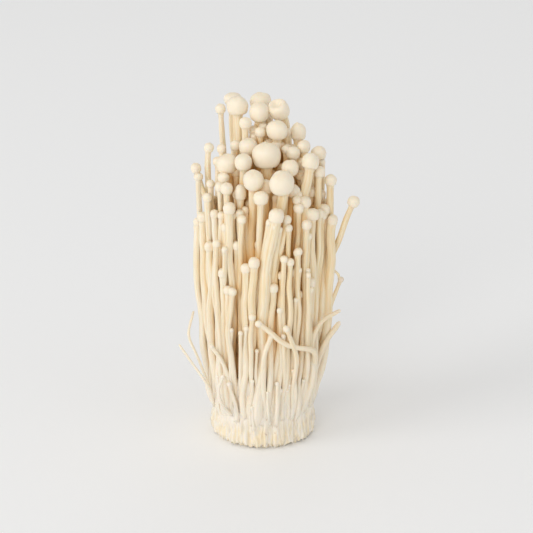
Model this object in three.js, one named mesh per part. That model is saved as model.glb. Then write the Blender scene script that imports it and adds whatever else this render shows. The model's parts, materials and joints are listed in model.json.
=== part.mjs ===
// Enoki mushroom cluster: a bunch of slender mushrooms that grew packed together from one cut base.
// Millimetres. +Z is up, -Y is the front, and the origin is the centre of the base's flat underside.

import * as THREE from "three";

// Driving dimensions.
const BASE_RADIUS = 24;
const BASE_HEIGHT = 14;
const FOOT_RING = 21.8; // no foot stands further out than this
const FOOT_SPREAD = 0.84; // a foot's distance from the axis, as a share of its cap's
const UPRIGHT = 3; // how soon a stem has leaned out and stands upright: 1 is all the way up
const GAP = 0.3; // clear space between neighbours
const CAP_HEIGHT = 0.84; // a cap's height, as a share of its width
const FOOT_WIDTH = 0.9; // a stem's width at its foot, as a share of its width under the cap
const SIDES = 8; // of a mushroom
const RING_STEP = 17; // between two rings of a stem
const LOBES = 9; // round the base's side
const LOBE_DEPTH = 0.014; // half of what is lost between two lobes, as a share of the radius
const SIDES_PER_LOBE = 6;
const BASE_EDGE = { inset: 1.5, cut: 2, top: 4 }; // how far in, how high and how deep its slanted edges go

// A cap from its lip over its top: shares of its radius and of its height.
const CAP_OUTLINE = [
  [0.84, 0.08],
  [1, 0.36],
  [0.82, 0.74],
  [0.44, 0.94],
  [0, 1],
];

// How the stems are pushed apart while they settle.
const LEVEL = 2.5; // the heights at which neighbours meet are this far apart
const ROUNDS = 300;
const STIFFNESS = 0.35; // how much a stem evens out its own bends in each round
const CAP_PULL = 0.12; // how much a cap goes back to its place in each round
const FOOT_PULL = 0.3;
const YIELD = new THREE.Vector2(0.6, 1.4); // the share of a push that moves a stem along X and along Y
const LAST_PUSHES = 40; // rounds at the end with pushes only, so that nothing is left touching
const KNOT = 3; // levels between two points that the finished stem's smooth line passes

// Each mushroom is [cap x, cap y, height of the cap's middle, cap width, stem width] and, where the rules
// below aren't enough, where its foot stands, which way its cap tips, and the points its stem passes, lowest
// first.
const CROWN = [
  [-12.8, 22, 142.6, 7.4, 3.0],
  [-9.5, 12, 141.5, 9.0, 4.2],
  [-17, 15, 139.5, 4.4, 2.4],
  [-1, 22, 141.4, 9.2, 4.0],
  [-1.5, 12.5, 139.5, 8.6, 3.8],
  [6.3, 12.5, 141, 8.8, 4.6, { foot: [10, 14], tip: [-0.1, -0.35], via: [[10, 14, 126]] }],
  [-7.5, 8, 136, 5.2, 2.8],
  [-0.5, 6, 132.5, 4.4, 2.6],
  [5.2, 3.5, 134.2, 8.6, 3.8],
  [14.5, 9, 130.8, 6.2, 3.8],
  [17.5, 3, 127, 5.6, 3.0],
  [22, 4, 123.5, 6.2, 3.4],
  [-11, 5, 126.5, 4.6, 2.6],
  [-5.5, 2, 127.5, 8.0, 3.4],
  [2.6, -5, 126, 11.5, 4.6, { foot: [1, -4] }],
  [12.5, -1.5, 125.5, 5.6, 3.2],
  [17.4, -8.5, 124, 7.6, 4.0, { foot: [10, -11], tip: [0.1, 0], via: [[14, -14.5, 100], [17.6, -11, 113]] }],
  [-8, -8, 124, 7.4, 3.4],
  [-14.2, -3, 121.5, 8.8, 4.0],
  [-19, 1, 120.5, 4.2, 2.4],
  [-4.3, -15, 119.3, 8.6, 3.8, { foot: [-6, -14] }],
  [8.4, -18.5, 119.6, 10.3, 4.4, { foot: [6, -14], tip: [-0.3, -0.15], via: [[6.5, -18, 106]] }],
  [11.4, -14, 112.4, 6.2, 2.8],
  [11.4, -7.2, 121.5, 7.0, 2.8, { foot: [9, -6] }],
  [22, -8, 118.5, 5.2, 2.8, { foot: [14, -8] }],
  [27.5, -4, 114.5, 5.0, 3.0, { foot: [18, -4] }],
  [-14.5, -14.5, 114.5, 5.2, 2.8],
  [-9.5, -14, 111.5, 4.8, 2.8],
  [-0.5, -20, 113, 6.0, 3.0, { foot: [-2, -18] }],
  [-13, -19, 107.5, 5.4, 3.0],
];

const FRONT = [
  [-9.5, -19.5, 103, 3.8, 2.4],
  [14.5, -17.5, 107, 4.4, 2.4],
  [5, -24, 106.5, 6.2, 5.0, { foot: [-3, -19], via: [[1.5, -23, 82]] }],
  [9, -21.5, 103.5, 3.8, 3.2, { foot: [1.5, -20], via: [[5.5, -23, 86]] }],
  [19.5, -14.5, 103.5, 5.4, 4.0],
  [17.5, -20, 101, 4.2, 2.4],
  [-22.5, 3, 126.5, 4.2, 2.6],
  [-27.5, 3, 117.5, 4.6, 2.6, { foot: [-19, 4], via: [[-22, 2, 96]] }],
  [-27.3, -4, 96.3, 3.6, 2.8],
  [-19, -18.5, 92, 3.4, 2.4],
  [-7, -24.5, 83.5, 4.2, 2.8, { foot: [-8, -19] }],
  [14.5, -22.5, 90, 3.4, 2.2, { foot: [9, -18] }],
  [8.5, -24.5, 87.5, 3.2, 2.2, { foot: [5, -20] }],
  [18.5, -21, 79.5, 2.8, 1.8, { foot: [14, -15] }],
  [28.5, -8, 98.5, 4.4, 3.4, { foot: [19, -8], tip: [0.2, 0] }],
  [36.8, -6, 106, 5.2, 2.4, { foot: [20.3, -1.5], tip: [0.1, 0], via: [[27, -5, 76]] }],
  [-12.5, -24, 73, 3.4, 2.4, { foot: [-10, -17.5], via: [[-14, -23.5, 60]] }],
  [-4.5, -26, 62.5, 3.2, 1.9, { foot: [-4.5, -20.3] }],
  [10, -27.5, 58, 2.8, 2.0, { foot: [11.5, -16.8], via: [[13.5, -27, 49]] }],
];

// The back of the bunch: one row that stands nearly as high as the crown, and a shorter row outside it.
const BACK_ROWS = [
  { count: 4, from: 40, to: 140, reach: 24, low: 102, rise: 12, cap: 4.8, stem: 3.2 },
  { count: 6, from: 20, to: 160, reach: 27, low: 62, rise: 34, cap: 3.8, stem: 2.6 },
];
const SHUFFLE = 0.618; // the golden share, which spreads heights evenly without a pattern
const ROW_SHIFT = 0.37; // between the heights of one row and the next
const STAGGER = 2; // how far the places in a row step in and out
const SPREAD = 0.3; // between the thinnest and the thickest of a row, as a share of the middle one

const FLESH = { color: 0xf1e4c8, roughness: 0.5, metalness: 0 };
const MAT = { color: 0xe9dfcb, roughness: 0.85, metalness: 0 };

const footTop = BASE_HEIGHT + GAP;

// The foot below a cap, where a mushroom leaves it to the rules: the same way out, but not so far.
function footUnder(x, y) {
  const out = Math.hypot(x, y) || 1;
  const reach = Math.min(out * FOOT_SPREAD, FOOT_RING);
  return [(x / out) * reach, (y / out) * reach];
}

function mushroom([x, y, z, capWidth, stemWidth, { foot = footUnder(x, y), tip = [0, 0], via = [] } = {}]) {
  const neck = z - (capWidth * CAP_HEIGHT) / 2;
  return {
    stops: [[...foot, footTop], ...via, [x, y, neck]].map((stop) => new THREE.Vector3(...stop)),
    capRadius: capWidth / 2,
    capHeight: capWidth * CAP_HEIGHT,
    stemRadius: stemWidth / 2,
    neck,
    tip: new THREE.Vector3(...tip, 0),
  };
}

function backRow({ count, from, to, reach, low, rise, cap, stem }, row) {
  return Array.from({ length: count }, (_, i) => {
    const angle = THREE.MathUtils.degToRad(from + ((to - from) * i) / (count - 1));
    const share = ((i + 1) * SHUFFLE + row * ROW_SHIFT) % 1;
    const out = reach - STAGGER * share;
    const grown = 1 + SPREAD * (share - 0.5);
    const place = [Math.cos(angle) * out, Math.sin(angle) * out, low + rise * share];
    return mushroom([...place, cap * grown, stem * grown]);
  });
}

// Where a stem is at a height on its first line. From its foot it leans out at once and then stands upright,
// and between two points that it passes it runs in one gentle S.
function onFirstLine(stops, height) {
  const above = Math.max(1, stops.findIndex((stop, i) => i === stops.length - 1 || stop.z > height));
  const [low, high] = [stops[above - 1], stops[above]];
  const share = (height - low.z) / (high.z - low.z);
  const eased = stops.length === 2 ? 1 - (1 - share) ** UPRIGHT : (share * share * (3 - 2 * share) + share) / 2;
  return new THREE.Vector2(low.x, low.y).lerp(new THREE.Vector2(high.x, high.y), eased);
}

function firstLine({ stops, neck }) {
  const steps = Math.round((neck - footTop) / LEVEL);
  const heights = Array.from({ length: steps + 1 }, (_, k) => footTop + ((neck - footTop) * k) / steps);
  return heights.map((height) => onFirstLine(stops, height));
}

// How wide a mushroom is at one level of its line. Levels past the neck are in the cap.
function radiusAt(m, level) {
  const overNeck = level - (m.line.length - 1);
  if (overNeck < -1) return m.stemRadius;
  return overNeck * LEVEL <= m.capHeight ? m.capRadius : 0;
}

// Neighbours push each other apart at every level, each stem evens out the bends that this gives it, and
// caps and feet are drawn back to their places. The bunch gives way more from front to back than sideways.
function settle(mushrooms) {
  const push = new THREE.Vector2();
  const placeAt = (m, level) => m.line[Math.min(level, m.line.length - 1)];
  const tallest = Math.max(...mushrooms.map((m) => m.line.length + Math.ceil(m.capHeight / LEVEL)));
  for (let round = 0; round < ROUNDS; round++) {
    for (let level = 0; level < tallest; level++) {
      const here = mushrooms.filter((m) => radiusAt(m, level) > 0);
      here.forEach((a, i) => {
        for (const b of here.slice(i + 1)) {
          const [placeA, placeB] = [placeAt(a, level), placeAt(b, level)];
          const wanted = radiusAt(a, level) + radiusAt(b, level) + GAP * 2;
          push.subVectors(placeA, placeB);
          const apart = push.length() || 1e-6;
          if (apart >= wanted) continue;
          push.multiplyScalar((wanted - apart) / apart / 2).multiply(YIELD);
          placeA.add(push);
          placeB.sub(push);
        }
      });
    }
    if (round < ROUNDS - LAST_PUSHES) mushrooms.forEach(straighten);
  }
}

function straighten(m) {
  const last = m.line.length - 1;
  const moved = m.line.map((place, k) => place.clone().sub(m.rest[k]));
  for (let k = 1; k < last; k++) {
    const middle = moved[k - 1].clone().add(moved[k + 1]).multiplyScalar(0.5);
    m.line[k].add(middle.sub(moved[k]).multiplyScalar(STIFFNESS));
  }
  m.line[last].lerp(m.rest[last], CAP_PULL);
  m.line[0].lerp(m.rest[0], FOOT_PULL);
}

// The outline from the axis at the foot, up the stem, out round the cap's edge and back in over its top.
function profile(m, length) {
  const { stemRadius: stem, capRadius: cap, capHeight: tall } = m;
  const rings = Math.max(4, Math.round(length / RING_STEP));
  const points = [new THREE.Vector2(0, 0)];
  for (let k = 0; k <= rings; k++) {
    const share = k / rings;
    points.push(new THREE.Vector2(stem * THREE.MathUtils.lerp(FOOT_WIDTH, 1, share), length * share));
  }
  return points.concat(CAP_OUTLINE.map(([out, up]) => new THREE.Vector2(cap * out, length + tall * up)));
}

// Bends a straight lathe along a line. Its foot ends level, just over the base, and what stands past the line's
// end goes straight on, along the cap's axis.
function bendAlong(geometry, curve, length, axis) {
  const across = new THREE.Vector3(1, 0, 0);
  const up = new THREE.Vector3(0, 0, 1);
  const position = geometry.getAttribute("position");
  for (let i = 0; i < position.count; i++) {
    const along = position.getY(i);
    const share = Math.min(along / length, 1);
    const centre = curve.getPointAt(share);
    const direction = share === 0 ? up : share < 1 ? curve.getTangentAt(share) : axis;
    centre.addScaledVector(axis, Math.max(along - length, 0));
    const u = across.clone().addScaledVector(direction, -across.dot(direction)).normalize();
    const w = u.clone().cross(direction);
    centre.addScaledVector(u, position.getX(i)).addScaledVector(w, position.getZ(i));
    position.setXYZ(i, centre.x, centre.y, centre.z);
  }
  return geometry;
}

function mushroomMesh(m, name) {
  const last = m.line.length - 1;
  const places = m.line.map((p, k) => new THREE.Vector3(p.x, p.y, footTop + ((m.neck - footTop) * k) / last));
  const knots = places.filter((_, k) => k % KNOT === 0 && last - k > 1);
  const curve = new THREE.CatmullRomCurve3([...knots, places[last]], false, "centripetal");
  const length = curve.getLength();
  const axis = curve.getTangentAt(1).add(m.tip).normalize();
  const lathe = new THREE.LatheGeometry(profile(m, length), SIDES);
  const mesh = new THREE.Mesh(bendAlong(lathe, curve, length, axis), new THREE.MeshStandardMaterial(FLESH));
  mesh.name = name;
  return mesh;
}

// The cut base is a round plug. Its side swells into soft lobes where the outer feet press together.
function baseMesh() {
  const outline = [
    [0, 0],
    [BASE_RADIUS - BASE_EDGE.inset, 0],
    [BASE_RADIUS, BASE_EDGE.cut],
    [BASE_RADIUS, BASE_HEIGHT - BASE_EDGE.top],
    [BASE_RADIUS - BASE_EDGE.inset, BASE_HEIGHT],
    [0, BASE_HEIGHT],
  ].map(([radius, height]) => new THREE.Vector2(radius, height));
  const lathe = new THREE.LatheGeometry(outline, LOBES * SIDES_PER_LOBE);
  const position = lathe.getAttribute("position");
  for (let i = 0; i < position.count; i++) {
    const angle = Math.atan2(position.getZ(i), position.getX(i));
    const swell = 1 - LOBE_DEPTH * (1 - Math.cos(LOBES * angle));
    position.setX(i, position.getX(i) * swell);
    position.setZ(i, position.getZ(i) * swell);
  }
  const mesh = new THREE.Mesh(lathe, new THREE.MeshStandardMaterial(MAT));
  mesh.rotation.x = Math.PI / 2; // the lathe turns about +Y, and the base stands on +Z
  mesh.name = "cut_base";
  return mesh;
}

const groups = {
  crown_mushroom: CROWN.map(mushroom),
  front_mushroom: FRONT.map(mushroom),
  back_mushroom: BACK_ROWS.flatMap(backRow),
};
const everyMushroom = Object.values(groups).flat();
for (const m of everyMushroom) {
  m.rest = firstLine(m);
  m.line = firstLine(m);
}
settle(everyMushroom);

const cluster = new THREE.Group();
cluster.add(baseMesh());
for (const [kind, mushrooms] of Object.entries(groups)) {
  mushrooms.forEach((m, i) => cluster.add(mushroomMesh(m, `${kind}_${String(i + 1).padStart(2, "0")}`)));
}

export default cluster;
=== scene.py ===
"""An enoki mushroom cluster: fine mushrooms on the frame's lines, a felted base, young growth, a stage."""

import itertools
import json
import math
import zlib

import bmesh
import bpy
import numpy as np
from bpy.props import FloatProperty, FloatVectorProperty, IntProperty, PointerProperty
from bpy.types import Operator, Panel, PropertyGroup
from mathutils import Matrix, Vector, noise

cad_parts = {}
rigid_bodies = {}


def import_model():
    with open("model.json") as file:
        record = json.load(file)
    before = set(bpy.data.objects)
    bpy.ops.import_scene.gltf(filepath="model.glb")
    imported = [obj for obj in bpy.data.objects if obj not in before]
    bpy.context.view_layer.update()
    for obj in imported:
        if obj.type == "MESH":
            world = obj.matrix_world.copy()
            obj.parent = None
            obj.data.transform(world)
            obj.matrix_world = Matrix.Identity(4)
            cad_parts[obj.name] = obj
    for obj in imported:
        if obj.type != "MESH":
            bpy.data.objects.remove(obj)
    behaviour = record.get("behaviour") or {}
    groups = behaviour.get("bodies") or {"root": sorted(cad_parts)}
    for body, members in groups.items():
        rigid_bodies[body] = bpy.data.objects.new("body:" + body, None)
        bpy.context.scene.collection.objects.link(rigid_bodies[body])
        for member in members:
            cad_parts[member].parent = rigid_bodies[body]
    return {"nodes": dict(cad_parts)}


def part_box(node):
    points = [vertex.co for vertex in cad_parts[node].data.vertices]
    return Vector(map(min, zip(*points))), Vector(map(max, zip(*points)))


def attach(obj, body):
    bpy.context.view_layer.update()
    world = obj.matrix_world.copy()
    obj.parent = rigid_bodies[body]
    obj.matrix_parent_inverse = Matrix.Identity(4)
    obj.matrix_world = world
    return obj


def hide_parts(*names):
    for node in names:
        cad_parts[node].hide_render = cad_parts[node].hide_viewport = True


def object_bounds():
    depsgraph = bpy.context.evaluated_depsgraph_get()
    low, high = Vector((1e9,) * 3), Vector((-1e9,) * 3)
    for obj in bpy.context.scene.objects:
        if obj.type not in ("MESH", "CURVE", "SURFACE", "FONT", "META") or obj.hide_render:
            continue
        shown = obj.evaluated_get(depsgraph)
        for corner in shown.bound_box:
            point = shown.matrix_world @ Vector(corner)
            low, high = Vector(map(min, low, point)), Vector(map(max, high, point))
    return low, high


bl_info = {
    "name": "Enoki Mushroom Cluster",
    "version": (1, 0, 0),
    "blender": (4, 5, 0),
    "location": "View3D > Sidebar > Enoki",
    "description": "Models an enoki mushroom cluster round its packed frame",
    "category": "Add Mesh",
}

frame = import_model()
CAD_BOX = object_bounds()

MM = 0.001
BASE_LOW, BASE_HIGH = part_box("cut_base")
BASE_TOP = BASE_HIGH.z
BASE_RADIUS = (BASE_HIGH.x - BASE_LOW.x) / 2
CAD_SIDES = 8  # of every mushroom in the frame
FOOT_DEPTH = 5 * MM


# ---------------------------------------------------------------- settings


class EnokiShape(PropertyGroup):
    """Sizes of the mushrooms."""

    ring_step: FloatProperty(name="Ring step", description="Distance between two rings of a stem",
                             default=1.3 * MM, unit="LENGTH", precision=5)
    sway: FloatProperty(name="Sway", description="How far a stem wanders from its straight run",
                        default=0.55 * MM, unit="LENGTH", precision=5)
    flute: FloatProperty(name="Flutes", description="Depth of a stem's long folds, as a share of its radius",
                         default=0.06, min=0, max=0.3)
    lump: FloatProperty(name="Lumps", description="Unevenness of a cap, as a share of its radius",
                        default=0.03, min=0, max=0.2)
    gill: FloatProperty(name="Gill depth", description="Depth of the gills under a wide cap",
                        default=0.22 * MM, unit="LENGTH", precision=5)
    sunk: FloatProperty(name="Foot depth", description="How deep the frame's mushrooms go on into the base",
                        default=FOOT_DEPTH, unit="LENGTH", precision=4)


class EnokiBase(PropertyGroup):
    """Sizes of the cut base."""

    grain: FloatProperty(name="Grain", description="Size of the cells that fuse the feet into one body",
                         default=0.42 * MM, unit="LENGTH", precision=5)
    fuse: FloatProperty(name="Fused height", description="How high above the base the feet are still joined",
                        default=15 * MM, unit="LENGTH", precision=4)
    band: FloatProperty(name="Band", description="Height of the ribbed band above the cut",
                        default=12 * MM, unit="LENGTH", precision=4)
    ribs: FloatProperty(name="Rib depth", description="Depth of the band's upright ribs",
                        default=1.1 * MM, unit="LENGTH", precision=5)
    threads: IntProperty(name="Threads", description="Loose threads of felt", default=1600, min=0)


class EnokiGrowth(PropertyGroup):
    """How much grows between the mushrooms of the frame."""

    inner: IntProperty(name="Inner", description="Mushrooms that fill the inside of the bunch",
                       default=175, min=0)
    rim: IntProperty(name="Rim", description="Half-grown mushrooms round the outside", default=44, min=0)
    young: IntProperty(name="Young", description="Young pins round the foot", default=46, min=0)


class EnokiColours(PropertyGroup):
    """Colours of the flesh and the felt, and the warm shade painted into the flesh."""

    cap: FloatVectorProperty(name="Cap", description="Skin of a cap", subtype="COLOR",
                             default=(0.95, 0.84, 0.67), min=0, max=1)
    crown: FloatVectorProperty(name="Cap centre", description="Middle of a cap's top", subtype="COLOR",
                               default=(0.94, 0.80, 0.58), min=0, max=1)
    stem: FloatVectorProperty(name="Stem", description="Stem flesh", subtype="COLOR",
                              default=(0.93, 0.79, 0.55), min=0, max=1)
    pale: FloatVectorProperty(name="Pale stem", description="Flesh of the palest stems", subtype="COLOR",
                              default=(0.97, 0.92, 0.80), min=0, max=1)
    streak: FloatVectorProperty(name="Streaks", description="Darker lines along a stem", subtype="COLOR",
                                default=(0.86, 0.66, 0.37), min=0, max=1)
    # Painted shade: the warm colour painted on the flesh where little light reaches, between the stems and
    # under the caps.
    depth: FloatVectorProperty(name="Depth", description="Flesh between the stems, in little light",
                               subtype="COLOR", default=(1.0, 0.60, 0.17), min=0, max=1)
    felt: FloatVectorProperty(name="Felt", description="Felt over the base and the feet", subtype="COLOR",
                              default=(0.92, 0.85, 0.74), min=0, max=1)
    stain: FloatVectorProperty(name="Stain", description="Brown specks and dried tips", subtype="COLOR",
                               default=(0.42, 0.22, 0.08), min=0, max=1)


class EnokiStage(PropertyGroup):
    """The camera, the lamps and the floor."""

    elevation: FloatProperty(name="Camera elevation", description="Camera's height above the horizon",
                             default=math.radians(21), subtype="ANGLE")
    distance: FloatProperty(name="Camera distance", description="From the camera to the middle of the bunch",
                            default=0.768, unit="LENGTH")
    lens: FloatProperty(name="Lens", description="Focal length in millimetres on a 36 mm sensor",
                        default=122.9)
    floor: FloatVectorProperty(name="Floor", description="Colour of the floor", subtype="COLOR",
                               default=(0.97, 0.97, 0.965), min=0, max=1)
    key: FloatProperty(name="Key lamp", description="Power of the lamp at the upper left, in watts",
                       default=18)
    front: FloatProperty(name="Front lamp", description="Power of the lamp left of the camera, in watts",
                         default=13)
    fill: FloatProperty(name="Fill lamp", description="Power of the lamps at the right and back, in watts",
                        default=0.5)
    sky: FloatProperty(name="Surroundings", description="Strength of the white surroundings",
                       default=0.65)


# ---------------------------------------------------------------- small helpers


def deselect():
    bpy.ops.object.select_all(action="DESELECT")


def activate(piece):
    deselect()
    piece.select_set(True)
    bpy.context.view_layer.objects.active = piece


def apply_modifier(piece, kind, **settings):
    """Adds one modifier with these settings and applies it."""
    activate(piece)
    modifier = piece.modifiers.new(kind.title(), kind)
    for key, value in settings.items():
        setattr(modifier, key, value)
    bpy.ops.object.modifier_apply(modifier=modifier.name)


def join(pieces, name):
    """Joins pieces into the first, under a new name."""
    activate(pieces[0])
    for piece in pieces[1:]:
        piece.select_set(True)
    if len(pieces) > 1:
        bpy.ops.object.join()
    whole = bpy.context.view_layer.objects.active
    whole.name = name
    whole.data.name = name
    return whole


def chance(name):
    """A random source that is the same each run for the same name."""
    return np.random.RandomState(zlib.crc32(name.encode()) & 0x7FFFFFFF)


def unit(vector):
    return vector / np.linalg.norm(vector)


def smoothstep(low, high, value):
    share = np.clip((value - low) / (high - low), 0, 1)
    return share * share * (3 - 2 * share)


def through(points, count, last_way=None):
    """Evenly spaced points on a smooth line through the given ones, which can leave in a given direction."""
    points = np.asarray(points, float)
    chord = np.r_[0, np.cumsum(np.linalg.norm(np.diff(points, axis=0), axis=1))]
    slope = np.gradient(points, chord, axis=0)
    if last_way is not None:
        slope[-1] = last_way
    at = np.linspace(0, chord[-1], count * 4)
    k = np.clip(np.searchsorted(chord, at, side="right") - 1, 0, len(points) - 2)
    span = (chord[k + 1] - chord[k])[:, None]
    s = (at - chord[k])[:, None] / span
    fine = ((2 * s**3 - 3 * s**2 + 1) * points[k] + (s**3 - 2 * s**2 + s) * span * slope[k]
            + (3 * s**2 - 2 * s**3) * points[k + 1] + (s**3 - s**2) * span * slope[k + 1])
    run = np.r_[0, np.cumsum(np.linalg.norm(np.diff(fine, axis=0), axis=1))]
    even = np.linspace(0, run[-1], count)
    return np.stack([np.interp(even, run, fine[:, axis]) for axis in range(3)], 1)


def carried_frames(line):
    """Directions along a line and two across it that turn with it and don't twist."""
    along = np.gradient(line, axis=0)
    along /= np.linalg.norm(along, axis=1)[:, None]
    first = np.zeros_like(line)
    side = unit(np.cross(along[0], [0, 1, 0]))
    for k, way in enumerate(along):
        side = unit(side - way * side.dot(way))
        first[k] = side
    return along, first, np.cross(along, first)


# ---------------------------------------------------------------- the pattern mushroom


PATTERNS = {}
# The cap's rings, from the neck out under it, round the rolled-in lip and over the top. Under the cap each is
# how far out, from the stem's wall at 0 to the widest ring at 1, and how high, as a share of its height.
UNDER = ((0.06, 0.10), (0.18, 0.13), (0.30, 0.09))
LIP = ((0.40, 0.025), (0.52, 0.02), (0.66, 0.06), (0.79, 0.13), (0.89, 0.22), (0.965, 0.33))
WIDEST = 0.44  # how high the widest ring is
TOP_RINGS = 10


def pattern(sides, rings):
    """A straight pattern mushroom with this many sides and stem rings, modelled once and then copied."""
    if (sides, rings) in PATTERNS:
        return PATTERNS[sides, rings]
    deselect()
    bpy.ops.mesh.primitive_circle_add(vertices=sides, radius=1, fill_type="NGON")
    model = bpy.context.object
    model.name = f"pattern_{sides}_{rings}"
    bpy.ops.object.mode_set(mode="EDIT")
    bpy.ops.mesh.select_mode(type="FACE")
    bpy.ops.mesh.select_all(action="SELECT")

    def grow(rise, width):
        bpy.ops.mesh.extrude_region_move(TRANSFORM_OT_translate={"value": (0, 0, rise)})
        bpy.ops.transform.resize(value=(width, width, 1))

    for _ in range(rings):
        grow(1 / rings, 1)
    width, height = 1, 0
    dome = [(2 * math.cos(a), WIDEST + (1 - WIDEST) * math.sin(a)) for a in dome_angles()[:-1]]
    for out, up in [(1 + reach, up) for reach, up in UNDER + LIP] + dome:
        grow(up - height, out / width)
        width, height = out, up
    bpy.ops.mesh.extrude_region_move(TRANSFORM_OT_translate={"value": (0, 0, 1 - height)})
    bpy.ops.mesh.merge(type="CENTER")
    bpy.ops.mesh.select_all(action="SELECT")
    bpy.ops.mesh.normals_make_consistent(inside=False)
    bpy.ops.object.mode_set(mode="OBJECT")
    model.hide_render = True
    model.hide_set(True)
    PATTERNS[sides, rings] = model
    return model


def dome_angles():
    """Angles of the dome's rings, from the widest one to the pole."""
    return np.linspace(0, math.pi / 2, TOP_RINGS + 1)


def clear_patterns():
    for model in PATTERNS.values():
        bpy.data.meshes.remove(model.data)
    PATTERNS.clear()


# ---------------------------------------------------------------- mushrooms


class Mushroom:
    """One mushroom's measures: its line from foot to neck, its radii, and the way that its cap points."""

    def __init__(self, name, points, stem, cap, tall, way=None, sides=12, **traits):
        self.name = name
        self.points = np.asarray(points, float)
        self.stem = stem
        self.cap = cap
        self.tall = tall
        self.way = unit(self.points[-1] - self.points[-2] if way is None else np.asarray(way, float))
        self.sides = sides
        self.traits = traits

    def at(self, height):
        """Where the middle of the stem is at a height, or None above the neck."""
        z = self.points[:, 2]
        if height > z[-1]:
            return None
        return np.array([np.interp(height, z, self.points[:, 0]), np.interp(height, z, self.points[:, 1])])


def stem_surface(m, line, frames, shape, luck, angles):
    """Places of a stem's rings, with its thick and thin stretches and its lengthwise folds."""
    along, first, second = frames
    share = np.linspace(0, 1, len(line))
    run = share * np.linalg.norm(np.diff(line, axis=0), axis=1).sum() / MM
    at_foot = m.traits.get("foot_swell", 0.14) * (1 - share) ** 2
    swell = 1 + at_foot - 0.05 * np.exp(-((run[-1] - run) / 5) ** 2)
    for wave in (9, 17, 31):
        swell += 0.022 * np.sin(run * 2 * math.pi / (wave * luck.uniform(0.8, 1.3)) + luck.uniform(0, 6.3))
    swell += 0.28 * np.exp(-((run[-1] - run) / 0.9) ** 2) * min(1, (m.cap / m.stem - 1))
    fold = np.ones((len(line), len(angles)))
    deep = m.traits.get("flute", shape.flute)
    for lobes in m.traits.get("lobes", (2, 3, 5)):
        turn = luck.uniform(0, 6.3) + luck.uniform(-0.02, 0.02) * run
        turn = turn + 0.5 * np.sin(run / luck.uniform(14, 30))
        fade = 0.75 + 0.25 * np.sin(run / luck.uniform(10, 20) + luck.uniform(0, 6.3))
        depth = deep * (1.2 if lobes == 2 else 0.7)
        fold += depth * fade[:, None] * np.cos(lobes * angles[None, :] + turn[:, None])
    radius = m.stem * swell[:, None] * fold
    ring = (np.cos(angles)[None, :, None] * first[:, None, :]
            + np.sin(angles)[None, :, None] * second[:, None, :])
    grown = np.stack([radius * np.cos(angles), radius * np.sin(angles),
                      np.repeat(run[:, None] * MM, len(angles), 1)], 2)
    return line[:, None, :] + radius[:, :, None] * ring, grown


def cap_surface(m, neck, frame_at_neck, neck_radius, shape, luck, angles):
    """Places of a cap's rings and of its pole, and its straight coordinates and masks."""
    _, first, second = frame_at_neck
    way = m.way
    first = unit(first - way * first.dot(way))
    second = np.cross(way, first)
    long_way = luck.uniform(0, 6.3)
    oval = 1 + m.traits.get("oval", luck.uniform(0.01, 0.07)) * np.cos(2 * (angles - long_way))
    lumps = [(luck.randint(1, 5), luck.uniform(0, 6.3), luck.uniform(0, 6.3)) for _ in range(4)]
    boxy = m.traits.get("boxy", luck.uniform(2.0, 2.35))
    dimple = m.traits.get("dimple", 0.0)
    roomy = smoothstep(1.25, 1.7, m.cap / m.stem)
    rings, grown, under, crown = [], [], [], []
    profile = [(reach, up, "under") for reach, up in UNDER] + [(reach, up, "lip") for reach, up in LIP]
    profile += [(math.cos(a), math.sin(a), "dome") for a in dome_angles()]
    for reach, up, part in profile:
        if part == "dome":
            radius = m.cap * reach ** (2 / boxy)
            height = np.full(len(angles), m.tall * (WIDEST + (1 - WIDEST) * up ** (2 / boxy)))
            height = height - dimple * m.tall * math.exp(-((reach / 0.42) ** 2))
        else:
            radius = neck_radius + reach * (m.cap - neck_radius)
            height = np.full(len(angles), m.tall * up)
        if part == "under":
            height = height + shape.gill * roomy * np.where(np.arange(len(angles)) % 2, 1, -1)
        wide = radius * oval
        if part != "under":
            bump = sum(np.cos(n * angles + a) * math.sin(2.2 * up + b) for n, a, b in lumps)
            fade = reach**0.5 if part == "dome" else reach
            wide = wide * (1 + shape.lump * fade * bump / 2)
            height = height * (1 + shape.lump * bump / 2)
        flat = np.cos(angles)[:, None] * first + np.sin(angles)[:, None] * second
        rings.append(neck + wide[:, None] * flat + height[:, None] * way)
        grown.append(np.stack([wide * np.cos(angles), wide * np.sin(angles), 0.3 + height], 1))
        under.append(1.0 if part == "under" else 0.0)
        crown.append(up if part == "dome" else 0.0)
    return np.array(rings), np.array(grown), under, crown


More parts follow.
